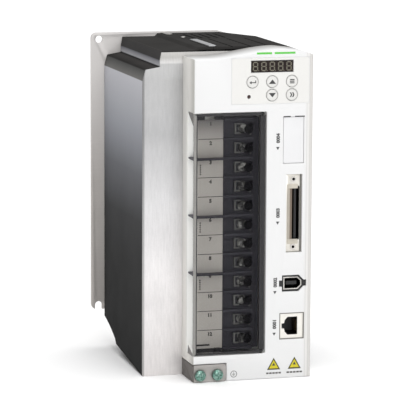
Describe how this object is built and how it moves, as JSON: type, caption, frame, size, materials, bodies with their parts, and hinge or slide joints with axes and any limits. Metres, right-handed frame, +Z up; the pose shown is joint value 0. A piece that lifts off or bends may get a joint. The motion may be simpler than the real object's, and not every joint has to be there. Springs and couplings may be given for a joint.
{
  "type": "servo drive",
  "caption": "Wall-mounted servo drive with a hinged smoked terminal cover, keypad and display, stacked signal sockets, dark vented case and steel mounting plate.",
  "frame": {"origin": "bottom centre of the whole drive's box", "axes": "front faces -Y, +X to the right seen from the front, +Z up"},
  "size_m": [0.121, 0.142, 0.2264],
  "materials": {
    "plate_metal": "zinc plated sheet steel, satin, slightly warm grey",
    "dark_shell": "charcoal satin paint that reads blue-grey near the top and almost black low down",
    "aluminium": "plain extruded aluminium, satin",
    "brushed_panel": "fine grained light grey sheet metal with a soft sheen",
    "white_plastic": "warm white moulded plastic, very fine texture",
    "smoked_plastic": "smoked clear polycarbonate, polished",
    "steel": "nickel plated steel",
    "terminal_plastic": "charcoal glass-filled plastic",
    "label_white": "white label stock on a plastic carrier",
    "green_zinc": "green passivated steel, bright on the cross recess edges",
    "membrane_white": "white polyester film with thin grey key rings",
    "display_dark": "dark filter window over unlit grey segments",
    "black_plastic": "black moulded plastic",
    "lamp_red": "dark red lamp lens, unlit",
    "jack_metal": "bright tinned jack shield",
    "board_green": "solder-masked circuit board",
    "sleeve_blue": "dark blue capacitor sleeve"
  },
  "bodies": {
    "root": {"mounting_plate": "plate_metal", "case_left_half": "dark_shell", "case_right_half": "dark_shell", "top_seam_strip": "aluminium", "front_panel": "brushed_panel", "front_housing": "white_plastic", "hinge_pin_lower": "steel", "hinge_pin_upper": "steel", "terminal_block": "terminal_plastic", "terminal_label_carrier": "label_white", "ground_bracket": "plate_metal", "ground_screw_left": "green_zinc", "ground_screw_right": "green_zinc", "keypad_overlay": "membrane_white", "display_window": "display_dark", "display_module": "black_plastic", "charge_lamp": "lamp_red", "control_connector_shell": "steel", "control_connector_tongue": "black_plastic", "bus_socket_shell": "steel", "bus_socket_tongue": "black_plastic", "network_jack": "jack_metal", "option_cover": "white_plastic", "control_board": "board_green", "power_board": "board_green", "heat_sink": "aluminium", "power_module": "black_plastic", "inrush_relay": "black_plastic", "brake_resistor": "aluminium", "fan_frame": "black_plastic", "terminal_screw_1": "steel", "terminal_screw_2": "steel", "terminal_screw_3": "steel", "terminal_screw_4": "steel", "terminal_screw_5": "steel", "terminal_screw_6": "steel", "terminal_screw_7": "steel", "terminal_screw_8": "steel", "terminal_screw_9": "steel", "terminal_screw_10": "steel", "terminal_screw_11": "steel", "terminal_screw_12": "steel", "group_divider_1": "terminal_plastic", "bus_capacitor_1": "sleeve_blue", "group_divider_2": "terminal_plastic", "bus_capacitor_2": "sleeve_blue", "group_divider_3": "terminal_plastic", "bus_capacitor_3": "sleeve_blue", "switch_enter": "black_plastic", "switch_up": "black_plastic", "switch_mode": "black_plastic", "switch_down": "black_plastic", "switch_shift": "black_plastic"},
    "cover": {"terminal_cover": "smoked_plastic"},
    "rotor": {"fan_rotor": "black_plastic"},
    "button_enter": {"key_enter": "membrane_white"},
    "button_up": {"key_up": "membrane_white"},
    "button_mode": {"key_mode": "membrane_white"},
    "button_down": {"key_down": "membrane_white"},
    "button_shift": {"key_shift": "membrane_white"}
  },
  "joints": [
    {"name": "cover_hinge", "type": "hinge", "parent": "root", "child": "cover", "pos_m": [0.0253, -0.06617, 0.1009], "axis": [0, 0, 1], "range_deg": [0, 90]},
    {"name": "fan_spin", "type": "hinge", "parent": "root", "child": "rotor", "pos_m": [0.0071, 0.04353, 0.21], "axis": [0, 0, 1], "continuous": true},
    {"name": "enter_press", "type": "slide", "parent": "root", "child": "button_enter", "axis": [0, 1, 0], "range_m": [0, 0.0005], "stiffness_N_per_m": 1500},
    {"name": "up_press", "type": "slide", "parent": "root", "child": "button_up", "axis": [0, 1, 0], "range_m": [0, 0.0005], "stiffness_N_per_m": 1500},
    {"name": "mode_press", "type": "slide", "parent": "root", "child": "button_mode", "axis": [0, 1, 0], "range_m": [0, 0.0005], "stiffness_N_per_m": 1500},
    {"name": "down_press", "type": "slide", "parent": "root", "child": "button_down", "axis": [0, 1, 0], "range_m": [0, 0.0005], "stiffness_N_per_m": 1500},
    {"name": "shift_press", "type": "slide", "parent": "root", "child": "button_shift", "axis": [0, 1, 0], "range_m": [0, 0.0005], "stiffness_N_per_m": 1500}
  ]
}
